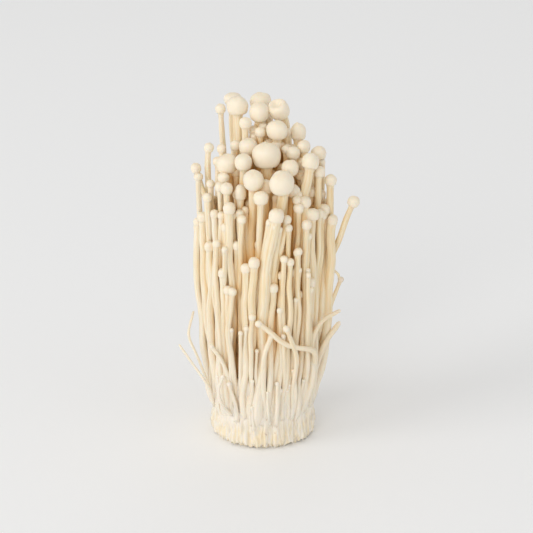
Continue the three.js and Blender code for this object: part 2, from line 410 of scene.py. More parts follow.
def model_mushroom(m, shape, low):
    """A copy of the pattern, lengthened, bent along the mushroom's line and given its own cap."""
    luck = chance(m.name)
    run = np.linalg.norm(np.diff(m.points, axis=0), axis=1).sum()
    rings = max(8, int(run / (shape.ring_step * (2.2 if low else 1))))
    rings = int(math.ceil(rings / 6) * 6)
    model = pattern(m.sides, rings)
    mesh = model.data.copy()
    line = through(m.points, rings + 1, m.way)
    along, first, second = carried_frames(line)
    share = np.linspace(0, 1, rings + 1)
    free = smoothstep(0, 0.25, share) * (1 - smoothstep(0.8, 1, share))
    reach = m.traits.get("sway", shape.sway)
    for wave in (1.3, 2.4, 4.1):
        for side in (first, second):
            turn = share * run / 0.1 * wave * luck.uniform(0.8, 1.2) * 2 * math.pi + luck.uniform(0, 6.3)
            line = line + side * (reach / wave**0.7 * free * np.sin(turn))[:, None]
    frames = carried_frames(line)
    angles = np.arange(m.sides) * 2 * math.pi / m.sides
    stem, stem_grown = stem_surface(m, line, frames, shape, luck, angles)
    neck_radius = np.linalg.norm(stem[-1] - line[-1], axis=1).mean()
    at_neck = [f[-1] for f in frames]
    cap, cap_grown, under, crown = cap_surface(m, line[-1], at_neck, neck_radius, shape, luck, angles)
    pole = cap[-1].mean(0)
    places = np.concatenate([stem.reshape(-1, 3), cap[:-1].reshape(-1, 3), pole[None, :]])
    pole_grown = cap_grown[-1].mean(0)
    grown = np.concatenate([stem_grown.reshape(-1, 3), cap_grown[:-1].reshape(-1, 3), pole_grown[None, :]])
    grown += np.array([luck.uniform(0, 5), luck.uniform(0, 5), luck.uniform(0, 5)])
    on_cap = np.r_[smoothstep(0.985, 1.0, share) * 0.5, np.ones(len(under) - 1)].repeat(m.sides)
    on_cap = np.r_[on_cap, 1.0]
    is_under = np.r_[np.zeros(len(share)), under[:-1]].repeat(m.sides)
    is_crown = np.r_[np.zeros(len(share)), crown[:-1]].repeat(m.sides)
    order = pattern_order(model, m.sides)
    set_places(mesh, places[order])
    set_value(mesh, "grown", grown[order])
    set_value(mesh, "cap", on_cap[order])
    set_value(mesh, "under", np.r_[is_under, 0.0][order])
    set_value(mesh, "crown", np.r_[is_crown, 1.0][order])
    # Painted light: stems whose caps stand further left are painted paler, as if lit from the left; the other
    # part of the tone varies at random.
    pale = 0.45 * luck.uniform(0, 1) + 0.55 * smoothstep(14 * MM, -24 * MM, m.points[-1][0])
    set_value(mesh, "tone", np.full(len(order), pale))
    set_value(mesh, "dried", dried_tip(m, share, len(under))[order])
    mesh.name = m.name
    piece = bpy.data.objects.new(m.name, mesh)
    bpy.context.scene.collection.objects.link(piece)
    return piece


def dried_tip(m, share, cap_rings):
    """How brown and dry each ring is, towards the tip of a mushroom that has dried there."""
    dry = m.traits.get("dried", 0.0)
    rings = np.r_[smoothstep(0.8, 1.0, share) * dry, np.full(cap_rings - 1, dry)]
    return np.r_[rings.repeat(m.sides), dry]


ORDERS = {}


def pattern_order(model, sides):
    """For each of the pattern's vertices, its place in a list that goes ring by ring and round each ring."""
    if model.name in ORDERS:
        return ORDERS[model.name]
    count = len(model.data.vertices)
    co = np.zeros(count * 3)
    model.data.vertices.foreach_get("co", co)
    co = co.reshape(-1, 3)
    bm = bmesh.new()
    bm.from_mesh(model.data)
    bm.verts.ensure_lookup_table()
    pole = min(bm.verts, key=lambda v: v.co.xy.length + (v.co.z < 1))
    ring_of = {pole: 0}
    edge = [pole]
    while edge:
        following = []
        for vert in edge:
            for link in vert.link_edges:
                other = link.other_vert(vert)
                if other not in ring_of:
                    ring_of[other] = ring_of[vert] + 1
                    following.append(other)
        edge = following
    last = max(ring_of.values())
    order = np.zeros(count, int)
    for vert, ring in ring_of.items():
        turn = round(math.atan2(vert.co.y, vert.co.x) / (2 * math.pi) * sides) % sides
        order[vert.index] = (last - ring) * sides + (turn if ring else 0)
    bm.free()
    ORDERS[model.name] = order
    return order


def set_places(mesh, places):
    mesh.vertices.foreach_set("co", places.astype(np.float32).ravel())
    mesh.update()


def set_value(mesh, name, values):
    """Writes one number or vector for each vertex as a named attribute."""
    values = np.asarray(values, np.float32)
    kind, key = ("FLOAT_VECTOR", "vector") if values.ndim == 2 else ("FLOAT", "value")
    attribute = mesh.attributes.get(name) or mesh.attributes.new(name, kind, "POINT")
    attribute.data.foreach_set(key, values.ravel())


def finish_mushroom(piece, finish):
    piece.data.materials.clear()
    piece.data.materials.append(finish)
    piece.data.shade_smooth()
    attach(piece, "root")
    return piece


# ---------------------------------------------------------------- the frame's mushrooms


def read_rings(node):
    """The rings of a mushroom in the frame, foot first, as arrays of places, and its cap's pole."""
    bm = bmesh.new()
    bm.from_mesh(node.data)
    bmesh.ops.remove_doubles(bm, verts=bm.verts, dist=MM / 1000)
    for start in sorted(bm.verts, key=lambda v: -v.co.z)[: 3 * CAD_SIDES]:
        levels, seen = [[start]], {start}
        while levels[-1]:
            around = {link.other_vert(v) for v in levels[-1] for link in v.link_edges}
            levels.append([v for v in around if v not in seen])
            seen |= around
        sizes = [len(level) for level in levels[1:-1]]
        if sizes and all(size == CAD_SIDES for size in sizes[:-1]):
            whole = [level for level in levels[1:-1] if len(level) == CAD_SIDES]
            rings = [np.array([v.co for v in level], float) for level in whole]
            pole = np.array(start.co, float)
            bm.free()
            return rings[::-1], pole
    raise RuntimeError(f"{node.name} isn't a stem with a cap")


CAD_CAP_RINGS = 4
FOOT_INWARD = 0.88  # how far towards the axis a foot goes as it sinks into the base

# What marks single mushrooms out, by the frame's names.
TRAITS = {
    "crown_mushroom_01": {"flat": 0.75, "boxy": 2.5},
    "crown_mushroom_02": {"dimple": 0.05},
    "crown_mushroom_04": {"flat": 0.85, "boxy": 2.4},
    "crown_mushroom_06": {"dimple": 0.30, "boxy": 2.6, "oval": 0.02},
    "crown_mushroom_10": {"flat": 1.3, "oval": 0.06},
    "crown_mushroom_14": {"flat": 0.95, "boxy": 2.4},
    "crown_mushroom_15": {"boxy": 2.3, "oval": 0.04},
    "crown_mushroom_22": {"boxy": 2.05, "oval": 0.04},
    "crown_mushroom_28": {"flat": 1.5},
    "front_mushroom_03": {"lobes": (2, 5, 9), "flute": 0.075, "foot_swell": -0.1},
    "front_mushroom_05": {"boxy": 2.5, "oval": 0.12, "lobes": (2, 3, 7), "flute": 0.06},
    "front_mushroom_14": {"oval": 0.25},
}


def frame_mushroom(name):
    """A fine mushroom's measures, read from the plain one in the frame."""
    rings, pole = read_rings(frame["nodes"][name])
    stem_rings, cap_rings = rings[:-CAD_CAP_RINGS], rings[-CAD_CAP_RINGS:]
    middles = [ring.mean(0) for ring in stem_rings]
    neck = middles[-1]
    stem = np.linalg.norm(stem_rings[-1] - neck, axis=1).mean()
    cap = max(np.linalg.norm(ring - ring.mean(0), axis=1).mean() for ring in cap_rings)
    way = pole - neck
    traits = TRAITS.get(name, {})
    tall = np.linalg.norm(way) * traits.get("flat", 1)
    sunk = bpy.context.scene.enoki_shape.sunk
    down = middles[0] + (middles[0] - middles[1]) / (middles[1] - middles[0])[2] * sunk
    down[:2] *= FOOT_INWARD
    sides = 28 if cap > 2.4 * MM else 20
    return Mushroom(name, [down] + middles, stem, cap, tall, way, sides, **traits)


GROWN = {"frame": [], "extra": [], "inner": [], "rim": [], "young": [], "wisps": []}


def grow_from_frame(kind):
    """Models every mushroom of one kind on the frame's line, in place of the frame's plain one."""
    shape = bpy.context.scene.enoki_shape
    for name in sorted(n for n in frame["nodes"] if n.startswith(kind)):
        m = frame_mushroom(name)
        GROWN["frame"].append(m)
        piece = model_mushroom(m, shape, low=False)
        piece.name = f"fine_{name}"
        finish_mushroom(piece, bpy.data.materials["Mushroom flesh"])
        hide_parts(name)


# ---------------------------------------------------------------- what grows between them


def flow(mushrooms):
    """How the stems lean: a function from a place at the base's top and a height to the place there."""
    feet = np.array([m.at(BASE_TOP + 0.5 * MM) for m in mushrooms])

    def carried(start, height):
        pull = np.zeros(2)
        total = 0
        for m, foot in zip(mushrooms, feet):
            top = m.points[-1][2]
            here = m.at(min(height, top))
            lean = (here - foot) * max(height / top, 1)
            weight = 1 / (((start - foot) ** 2).sum() + (2.0 * MM) ** 2) ** 1.5
            pull += weight * lean
            total += weight
        return start + pull / total

    return carried


LEVELS = np.arange(BASE_TOP, 0.15, 6 * MM)  # the heights at which new stems are settled
FOOT_INSET = 1.2 * MM  # from the base's side to the outermost feet
SPREAD = 5.5 * MM  # how much further out the bunch reaches at its widest
SPREAD_HEIGHT = 14 * MM  # how soon above the base it spreads
ROUNDS = 70
PUSH = 0.4  # the share of an overlap that each round takes away
STRAIGHTEN = 0.3  # the share of a bend that each round takes away
CAP_PULL = 0.5  # how much a cap with a given place goes back to it in each round


def bunch_radius(height):
    """How far out the bunch reaches at a height: it spreads quickly above the base, then stands upright."""
    return BASE_RADIUS - FOOT_INSET + SPREAD * (1 - np.exp((BASE_TOP - height) / SPREAD_HEIGHT))


def settle(rows, fixed):
    """Pushes new stems off the fixed ones and off each other for some rounds, and evens out their bends."""
    lines = np.array([row["xy"] for row in rows])
    stems = np.array([row["stem"] for row in rows])
    tops = np.array([row["top"] for row in rows])
    held = []
    for height in LEVELS:
        there = [(m.at(height), m.stem) for m in fixed if m.at(height) is not None]
        places = np.array([place for place, _ in there]).reshape(-1, 2)
        held.append((places, np.array([stem for _, stem in there])))
    for _ in range(ROUNDS):
        for level, height in enumerate(LEVELS):
            live = tops >= height
            here = lines[live, level]
            places, widths = held[level]
            others = np.vstack([places, here])
            wanted = stems[live][:, None] + np.r_[widths, stems[live]][None, :]
            apart = here[:, None] - others[None]
            gap = np.maximum(np.linalg.norm(apart, axis=2), 1e-6)
            over = np.clip(wanted - gap, 0, None)
            over[np.arange(len(here)), len(places) + np.arange(len(here))] = 0
            lines[live, level] += (apart / gap[..., None] * over[..., None]).sum(1) * PUSH
        lines[:, 1:-1] += STRAIGHTEN * ((lines[:, :-2] + lines[:, 2:]) / 2 - lines[:, 1:-1])
        out = np.linalg.norm(lines, axis=2)
        limit = bunch_radius(LEVELS)[None, :] - stems[:, None]
        lines *= np.minimum(1, limit / np.maximum(out, 1e-6))[..., None]
        for row, line in zip(rows, lines):
            if "cap_at" in row:
                level = np.searchsorted(LEVELS, row["top"]) - 1
                line[level - 1:level + 2] += CAP_PULL * (row["cap_at"] - line[level])
    for row, line in zip(rows, lines):
        row["xy"] = line


def grown_so_far():
    """The mushrooms that new ones keep clear of."""
    return GROWN["frame"] + GROWN["extra"] + GROWN["inner"] + GROWN["rim"]


def raise_rows(kind, rows):
    """Settles the lines of new mushrooms of one kind and ends each at its neck."""
    luck = chance(kind + " caps")
    settle(rows, grown_so_far())
    found = []
    for i, row in enumerate(rows):
        below = LEVELS < row["top"] - 2 * MM
        neck = [np.interp(row["top"], LEVELS, row["xy"][:, axis]) for axis in (0, 1)]
        places = np.vstack([np.column_stack([row["xy"][below], LEVELS[below]]), [*neck, row["top"]]])
        sunk = places[0] * [FOOT_INWARD, FOOT_INWARD, 1] - [0, 0, FOOT_DEPTH]
        tall = row["cap"] * 2 * luck.uniform(0.78, 0.95)
        found.append(Mushroom(f"{kind}_{i + 1:02d}", np.vstack([sunk, places]), row["stem"], row["cap"], tall,
                              sides=row.get("sides", 12)))
    GROWN[kind] += found
    return found


def grow_between(kind, count, reach, turns, stem_range, cap_over_stem, height_of):
    """New mushrooms of one kind in the gaps between those that are already there."""
    luck = chance(kind)
    carried = flow(GROWN["frame"])
    feet = [(m.at(BASE_TOP + 0.1 * MM), m.stem) for m in grown_so_far()]
    rows = []
    tries = 0
    while len(rows) < count and tries < count * 300:
        tries += 1
        out = BASE_RADIUS * math.sqrt(luck.uniform(reach[0] ** 2, reach[1] ** 2))
        angle = math.radians(luck.uniform(*turns))
        start = np.array([out * math.cos(angle), out * math.sin(angle)])
        stem = luck.uniform(*stem_range)
        squeeze = 0.8 if tries < count * 150 else 0.5
        if any(np.linalg.norm(start - foot) < squeeze * (stem + other) for foot, other in feet):
            continue
        feet.append((start, stem))
        rows.append({"xy": np.array([carried(start, h) for h in LEVELS]), "stem": stem,
                     "top": height_of(start, luck), "cap": stem * luck.uniform(*cap_over_stem)})
    return raise_rows(kind, rows)


CAP_HEIGHT = 0.84  # as a share of a cap's width
FOOT_LIMIT = 0.93  # how far out a foot can stand, as a share of the base's radius


def grow_under(kind, caps):
    """Mushrooms whose caps have a given place: each is (x, y, z, cap width, stem width) in millimetres."""
    carried = flow(GROWN["frame"])
    rows = []
    for x, y, z, cap, stem in caps:
        place = np.array([x, y]) * MM
        neck = (z - cap * CAP_HEIGHT / 2) * MM
        start = place * 0.84
        for _ in range(6):
            start = start + 0.7 * (place - carried(start, neck))
            start *= min(1, FOOT_LIMIT * BASE_RADIUS / np.linalg.norm(start))
        xy = np.array([carried(start, h) for h in LEVELS])
        xy += (place - carried(start, neck)) * smoothstep(BASE_TOP, neck, LEVELS)[:, None]
        rows.append({"xy": xy, "stem": stem / 2 * MM, "top": neck, "cap": cap / 2 * MM,
                     "cap_at": place, "sides": 16})
    return raise_rows(kind, rows)


def model_group(mushrooms, name, parts):
    """Models like mushrooms and joins them into a few pieces, by where they stand round the bunch."""
    shape = bpy.context.scene.enoki_shape
    shares = [[] for _ in range(parts)]
    for m in mushrooms:
        turn = (math.atan2(m.points[0][1], m.points[0][0]) / (2 * math.pi)) % 1
        shares[int(turn * parts) % parts].append(model_mushroom(m, shape, low=True))
    for i, share in enumerate(shares):
        if share:
            piece = join(share, f"{name}_{i + 1}")
            finish_mushroom(piece, bpy.data.materials["Mushroom flesh"])


OPEN_CORNER = 0.8  # how high the filling stands at the back left, where the bunch is open between long stems


def crown_height(start):
    """How high the nearest mushrooms of the frame reach, and less in the open corner."""
    near = sorted(GROWN["frame"], key=lambda m: np.linalg.norm(m.at(BASE_TOP + MM) - start))[:4]
    height = np.mean([m.points[-1][2] for m in near])
    return height * (OPEN_CORNER if start[0] < -3 * MM and start[1] > 3 * MM else 1)


# Smaller mushrooms of the crown: where the middle of each cap is, then the widths of its cap and its stem.
EXTRA = (
    (10, 8, 131.5, 3.6, 2.4),
    (24.5, 4, 119.5, 3.2, 2.2),
    (9.5, 0, 126.5, 4.0, 2.4),
    (-17.5, -10, 113.5, 4.2, 2.4),
    (3.2, -12, 114, 4.4, 2.6),
    (13.5, -16, 110, 3.6, 2.2),
    (-21.5, -4, 113, 3.6, 2.4),
    (-27, 2, 114, 3.7, 2.4),
    (-28.3, -3, 93.5, 3.2, 2.6),
    (-17, 2, 126, 3.6, 2.2),
    (-11, -3, 118, 4.6, 2.6),
    (-16, -8, 117, 4.8, 2.6),
    (20, 1, 120.5, 4.4, 2.6),
    (1, 2, 121, 4.8, 2.8),
    (-2, -9, 115.5, 4.2, 2.6),
    (15.5, -5, 117, 4.6, 2.8),
    (6, -12, 115, 5.0, 2.8),
    (-1, 14, 133, 5.0, 3.0),
    (4, 10, 131.5, 4.4, 3.4),
    (0, 9, 133, 4.2, 3.4),
    (-3.5, 8, 129, 4.4, 3.4),
    (2, 17, 134, 4.6, 3.6),
    (5.5, 2, 127, 4.4, 3.2),
    (10, 5, 125, 4.4, 3.2),
    (17.5, 4, 121, 4.6, 3.2),
    (-7, 1, 120, 4.6, 3.2),
    (0, -3, 116, 4.6, 3.4),
    (7, -8, 112, 4.6, 3.4),
)

# Young pins and wisps at the front, in millimetres: the line of each from its foot to its tip, then the
# width of its stem and of its head, and for a wisp how dried its tip is.
PINS = [
    ([(-5, -18.5, 14), (-3.5, -21, 50), (-1.2, -23, 78), (2.6, -24.6, 102)], 3.0, 3.1),
    ([(0.5, -19.5, 14), (1.5, -21.5, 50), (3.8, -23.4, 78), (6.6, -24.2, 99)], 2.6, 2.7),
    ([(-2, -20, 14), (-1, -22.5, 50), (1.2, -25, 78), (4.6, -26.2, 101)], 2.4, 2.5),
    ([(-15, -17, 16), (-15.5, -18.5, 55), (-15.5, -21, 89)], 2.0, 2.9),
    ([(7, -17, 16), (9.5, -20, 60), (10.5, -23, 99)], 2.0, 3.2),
    ([(14, -15, 16), (17, -18, 60), (18.5, -19, 94)], 2.0, 3.2),
    ([(10, -17, 16), (12, -20, 55), (14, -22, 88)], 2.2, 3.3),
    ([(11, -17, 16), (13, -20.5, 50), (15, -22.5, 81)], 1.5, 2.1),
    ([(15, -14.5, 16), (17, -18, 50), (18.5, -20.5, 80)], 1.5, 2.1),
    ([(19.5, -8, 16), (24, -9, 60), (28.8, -6.5, 97)], 2.2, 3.7),
    ([(-12, -19, 14), (-13.5, -22, 40), (-13, -24, 55)], 1.5, 1.9),
    ([(-7, -20.5, 14), (-8, -22.5, 38), (-6.8, -25, 56)], 1.9, 2.5),
    ([(-9, -20, 14), (-9.5, -23, 38), (-9.2, -25, 54)], 1.6, 2.1),
    ([(6, -20.5, 14), (7.5, -23, 42), (7, -25, 64)], 2.0, 2.7),
    ([(10, -19, 14), (12.5, -21.5, 45), (13.5, -23, 68)], 1.5, 2.1),
    ([(15.5, -15, 16), (18.5, -18.5, 45), (19.5, -20, 71)], 2.2, 2.9),
    ([(-3, -21.5, 12), (-2.8, -24, 32), (-2.5, -25, 46)], 1.5, 1.9),
    ([(-12, -18.5, 14), (-15, -21, 33), (-17.5, -20.5, 41), (-21, -20, 46)], 1.9, 2.1),
    ([(-11, -20, 12), (-12, -22, 22), (-14, -23, 30)], 1.6, 2.1),
    ([(-0.5, -22, 11), (-1, -24, 24), (-0.5, -24.5, 34)], 1.5, 1.6),
    ([(-5, -22, 11), (-5.3, -24, 22), (-4.5, -24.5, 32)], 1.5, 1.8),
    ([(5.5, -22, 11), (6.3, -24, 22), (6, -24.5, 31)], 1.6, 1.7),
    ([(-4, -22.5, 9), (-4.6, -24, 15), (-4.5, -24.5, 20)], 1.3, 1.5),
    ([(8, -20.5, 13), (9, -23, 35), (8.5, -26, 53)], 1.9, 2.2),
    ([(1, -21.5, 12), (0.5, -25, 32), (1.2, -26.5, 47), (3.5, -27, 54)], 2.1, 2.2),
    ([(-13, -18, 14), (-17, -22, 20), (-18.5, -22.5, 27), (-17, -22, 33)], 1.5, 1.7),
    ([(17, -13.5, 14), (20.5, -17, 30), (21, -18, 43)], 2.4, 2.5),
    ([(3, -21.5, 11), (2.4, -24.5, 20), (2, -25, 27)], 1.3, 1.5),
    ([(12, -18.5, 12), (13.5, -21, 24), (12.8, -22.5, 36)], 1.5, 1.6),
]
WISPS = [
    ([(20.5, -10, 16), (21.5, -17, 36), (20, -24, 46.5), (15, -26.5, 48.5), (9, -27.5, 51), (3, -28, 56.5),
      (-1, -28, 59.5)], 2.2, 2.9, 0.0),
    ([(20, -11, 15), (20.5, -18, 41), (21.5, -17.5, 50), (25, -14.5, 55.5), (31.5, -12, 59)], 1.9, 1.5, 0.0),
    ([(20, -10.5, 15), (22.5, -13, 34), (26.5, -10.5, 44), (32, -8, 52)], 2.2, 1.2, 0.0),
    ([(-20, -8, 15), (-25, -9.5, 28), (-28.5, -8, 38), (-31.5, -6.5, 46), (-29.5, -6, 56)], 1.1, 0.9, 0.15),
    ([(-21, -9, 14), (-23, -13.5, 24), (-29, -11, 33), (-35.5, -8, 42)], 1.1, 0.5, 0.0),
    ([(21, -6, 24), (27, -8, 52), (30, -8, 65), (32.3, -8, 71)], 1.6, 2.5, 0.2),
    ([(32, -8, 71), (31.8, -8, 74), (29.8, -8, 76), (28, -7.5, 80)], 1.0, 1.0, 0.3),
]


class Pin(Mushroom):
    """A young mushroom or a wisp, given by its line in millimetres."""

    def __init__(self, name, points, stem, head, dried=0.0):
        places = np.array(points, float) * MM
        super().__init__(name, places, stem / 2 * MM, head / 2 * MM, head * 0.85 * MM, sides=12,
                         sway=0.3 * MM, dried=dried)


# ---------------------------------------------------------------- finishes


class Flow:
    """A value on its way through a finish. Arithmetic on it adds Math nodes."""

    def __init__(self, finish, socket):
        self.finish = finish
        self.socket = socket

    def _math(self, operation, first, second):
        return self.finish.node("ShaderNodeMath", {"operation": operation}, {0: first, 1: second})

    def __add__(self, other):
        return self._math("ADD", self, other)

    def __radd__(self, other):
        return self._math("ADD", other, self)

    def __sub__(self, other):
        return self._math("SUBTRACT", self, other)

    def __rsub__(self, other):
        return self._math("SUBTRACT", other, self)

    def __mul__(self, other):
        return self._math("MULTIPLY", self, other)

    def __rmul__(self, other):
        return self._math("MULTIPLY", other, self)


class Finish:
    """A material in the making."""

    def __init__(self, name):
        self.material = bpy.data.materials.new(name)
        self.material.use_nodes = True
        self.tree = self.material.node_tree
        self.tree.nodes.clear()

    def node(self, kind, settings=None, sockets=None, out=0):
        """Adds any node: its settings first, then the values or links of its sockets. Returns one output."""
        made = self.tree.nodes.new(kind)
        for key, value in (settings or {}).items():
            setattr(made, key, value)
        for key, value in (sockets or {}).items():
            if isinstance(value, Flow):
                self.tree.links.new(value.socket, made.inputs[key])
            else:
                made.inputs[key].default_value = value
        return Flow(self, made.outputs[out]) if made.outputs else made

    def ramp(self, value, *stops):
        """A value carried through (from, to) pairs, straight between them."""
        made = self.tree.nodes.new("ShaderNodeValToRGB")
        elements = made.color_ramp.elements
        while len(elements) < len(stops):
            elements.new(0.5)
        for element, (at, level) in zip(elements, stops):
            element.position = at
            element.color = (level, level, level, 1)
        self.tree.links.new(value.socket, made.inputs["Fac"])
        return Flow(self, made.outputs["Color"])

    def mix(self, share, first, second):
        """A colour between two others."""
        sockets = {0: share, 6: rgba(first), 7: rgba(second)}
        return self.node("ShaderNodeMix", {"data_type": "RGBA"}, sockets, 2)

    def value(self, name):
        return self.node("ShaderNodeAttribute", {"attribute_name": name}, out="Fac")

    def place(self, name=None):
        if name:
            return self.node("ShaderNodeAttribute", {"attribute_name": name}, out="Vector")
        return self.node("ShaderNodeTexCoord", out="Object")

    def stretched(self, vector, scale):
        return self.node("ShaderNodeVectorMath", {"operation": "MULTIPLY"}, {0: vector, 1: scale})

    def noise(self, vector, scale, detail=2.0, roughness=0.5):
        return self.node("ShaderNodeTexNoise", {}, {"Vector": vector, "Scale": scale, "Detail": detail,
                                                    "Roughness": roughness}, out="Fac")

    def bump(self, height, distance, strength):
        return self.node("ShaderNodeBump", {}, {"Height": height, "Distance": distance, "Strength": strength})

    def surface(self, sockets):
        shader = self.node("ShaderNodeBsdfPrincipled", {}, sockets)
        self.node("ShaderNodeOutputMaterial", {}, {"Surface": shader})
        return self.material


def rgba(colour):
    return colour if isinstance(colour, Flow) else (*colour[:3], 1)


def flesh_finish(colours):
    """Cream flesh: smooth caps, finely streaked stems, felt-white feet, dried tips; with warm shade painted
    deep in the bunch and under the caps, and stems painted paler towards the left as if lit from there.
    """
    f = Finish("Mushroom flesh")
    grown = f.place("grown")
    height = f.node("ShaderNodeSeparateXYZ", {}, {0: f.place()}, out="Z")
    cap = f.value("cap")
    streaks = f.noise(f.stretched(grown, (1, 1, 0.035)), 1500, 3)
    fine = f.noise(f.stretched(grown, (1, 1, 0.02)), 4200, 2)
    blotch = f.noise(grown, 160, 3)
    pores = f.noise(grown, 5200, 2)
    stem_share = f.ramp(streaks * 0.65 + fine * 0.35, (0.40, 0.0), (0.62, 1.0))
    # Painted light: the side-light share of the tone paints the left-hand stems paler.
    stem = f.mix(f.value("tone") * 0.75, colours.stem, colours.pale)
    stem = f.mix(stem_share * (1 - f.value("tone") * 0.45), stem, colours.streak)
    top = f.ramp(f.value("crown") + (blotch - 0.5) * 0.35, (0.55, 0.0), (1.0, 1.0))
    skin = f.mix(top * 0.6, colours.cap, colours.crown)
    colour = f.mix(cap, stem, skin)
    # Painted shade: where little light reaches into the bunch, the flesh is painted toward the warm shade
    # colour, a little less on caps.
    deep = f.value("deep")
    colour = f.mix(deep * (1.0 - cap * 0.3), colour, colours.depth)
    # Painted shade: the undersides of the caps are painted halfway to the warm shade colour.
    colour = f.mix(f.value("under") * 0.5, colour, colours.depth)
    low = f.ramp(height * (1 / 0.08) + (blotch - 0.5) * 0.2, (0.18, 1.0), (0.9, 0.0))
    colour = f.mix(low * (0.85 - deep * 0.5), colour, colours.felt)
    colour = f.mix(f.value("dried"), colour, colours.stain)
    ridges = streaks * 0.65 + fine * 0.35
    height_map = ridges * (1 - cap) + pores * 0.12 + blotch * 0.3
    rough = 0.4 + low * 0.25 + (blotch - 0.5) * 0.15 - cap * 0.04
    return f.surface({
        "Base Color": colour,
        "Roughness": rough,
        "IOR": 1.4,
        "Subsurface Weight": 0.2,
        "Subsurface Radius": (1.0, 0.7, 0.45),
        "Subsurface Scale": 1.0 * MM,
        "Normal": f.bump(height_map, 0.35 * MM, 0.75),
    })


def base_finish(colours):
    """White felt over fused feet, ribbed and a little yellow towards the cut, with a few brown specks."""
    f = Finish("Base felt")
    place = f.place()
    height = f.node("ShaderNodeSeparateXYZ", {}, {0: place}, out="Z")
    ribs = f.noise(f.stretched(place, (1, 1, 0.12)), 900, 3)
    felt = f.noise(place, 2600, 5, 0.7)
    blotch = f.noise(place, 110, 3)
    specks = f.ramp(f.noise(place, 420, 1), (0.74, 0.0), (0.79, 1.0))
    low = f.ramp(height * (1 / 0.02) + (blotch - 0.5) * 0.3, (0.35, 1.0), (0.62, 0.0))
    colour = f.mix(f.ramp(ribs, (0.40, 0.0), (0.62, 1.0)) * (0.12 + low * 0.75), colours.felt, colours.stem)
    colour = f.mix(specks * f.ramp(blotch, (0.5, 0.0), (0.62, 1.0)) * 0.6, colour, colours.stain)
    return f.surface({
        "Base Color": colour,
        "Roughness": 0.78 + (felt - 0.5) * 0.2,
        "IOR": 1.4,
        "Subsurface Weight": 0.15,
        "Subsurface Radius": (1.0, 0.75, 0.45),
        "Subsurface Scale": 1.5 * MM,
        "Normal": f.bump(felt * 0.5 + ribs * 0.7, 0.3 * MM, 0.7),
    })


def floor_finish(colour):
    """Matt pale card with a hint of tooth."""
    f = Finish("Pale card")
    tooth = f.noise(f.place(), 900, 3)
    cloud = f.noise(f.place(), 5, 2)
    return f.surface({
        "Base Color": f.mix(cloud * 0.04, colour, (0.85, 0.85, 0.86)),
        "Roughness": 0.85 + (tooth - 0.5) * 0.1,
        "Specular IOR Level": 0.15,
        "Normal": f.bump(tooth, 0.02 * MM, 0.3),
    })


# ---------------------------------------------------------------- the base


# How the felt rises round and between the feet: each step's rise and the radius there, in millimetres.
CORE = ((1.2, 21.6), (1.6, 22.2), (3.2, 22.1), (3, 21.6), (3.4, 21.3), (4, 22.0), (4, 23.0), (4, 23.6),
        (3, 22.7), (2, 19.5), (1, 13))
CUT_RADIUS = BASE_RADIUS - 2.2 * MM
FOOT_RINGS = 9


def bumps(place, size):
    """Smooth noise at a place, with bumps of this size in millimetres."""
    return noise.noise(Vector(place) / (size * MM))


def model_core():
    """The body of the base: a disc drawn up, rolled in at the cut and domed on top."""
    deselect()
    bpy.ops.mesh.primitive_circle_add(vertices=72, radius=CUT_RADIUS, fill_type="NGON")
    core = bpy.context.object
    core.name = "felted_base"
    bpy.ops.object.mode_set(mode="EDIT")
    bpy.ops.mesh.select_mode(type="FACE")
    bpy.ops.mesh.select_all(action="SELECT")
    width = CUT_RADIUS
    for rise, radius in CORE:
        bpy.ops.mesh.extrude_region_move(TRANSFORM_OT_translate={"value": (0, 0, rise * MM)})
        bpy.ops.transform.resize(value=(radius * MM / width, radius * MM / width, 1))
        width = radius * MM
    bpy.ops.mesh.select_all(action="SELECT")
    bpy.ops.mesh.normals_make_consistent(inside=False)
    bpy.ops.object.mode_set(mode="OBJECT")
    co = np.zeros(len(core.data.vertices) * 3)
    core.data.vertices.foreach_get("co", co)
    co = co.reshape(-1, 3)
    around = [bumps((x, y, 0), 14) for x, y, _ in co]
    over = np.clip(co[:, 2] - 10 * MM, 0, None)
    co[:, 2] += over * np.array(around) * 0.7
    set_places(core.data, co)
    return core


def model_foot(m, base):
    """The root of one mushroom: a tapering foot that widens as it goes down into the base."""
    rim = np.linalg.norm(m.points[0][:2]) / BASE_RADIUS
    luck = chance(m.name + " foot")
    top = min(BASE_TOP + base.fuse * luck.uniform(0.5, 1.25), m.points[-1][2] * 0.8)
    heights = np.linspace(MM, top, FOOT_RINGS)
    deselect()
    bpy.ops.mesh.primitive_circle_add(vertices=12, radius=m.stem, fill_type="NGON")
    foot = bpy.context.object
    bpy.ops.object.mode_set(mode="EDIT")
    bpy.ops.mesh.select_mode(type="FACE")
    bpy.ops.mesh.select_all(action="SELECT")
    for _ in heights[1:]:
        bpy.ops.mesh.extrude_region_move(TRANSFORM_OT_translate={"value": (0, 0, MM)})
    bpy.ops.object.mode_set(mode="OBJECT")
    co = np.zeros(len(foot.data.vertices) * 3)
    foot.data.vertices.foreach_get("co", co)
    co = co.reshape(-1, 3)
    level = np.clip(np.round(co[:, 2] / MM).astype(int), 0, FOOT_RINGS - 1)
    z = m.points[:, 2]
    for i, height in enumerate(heights):
        centre = np.array([np.interp(height, z, m.points[:, 0]), np.interp(height, z, m.points[:, 1])])
        if height < z[0]:
            centre = m.points[0][:2]
        limit = BASE_RADIUS - FOOT_INSET - m.stem
        out = np.linalg.norm(centre)
        if height < BASE_TOP and out > limit:
            centre = centre * limit / out
        share = i / (FOOT_RINGS - 1)
        widen = 1.0 - 0.16 * share - 0.4 * share**4 + (0.75 * (1 - share) ** 1.6) * (0.4 + 0.6 * rim)
        here = level == i
        co[here, :2] = centre + co[here, :2] * widen
        co[here, 2] = height
    set_places(foot.data, co)
    return foot


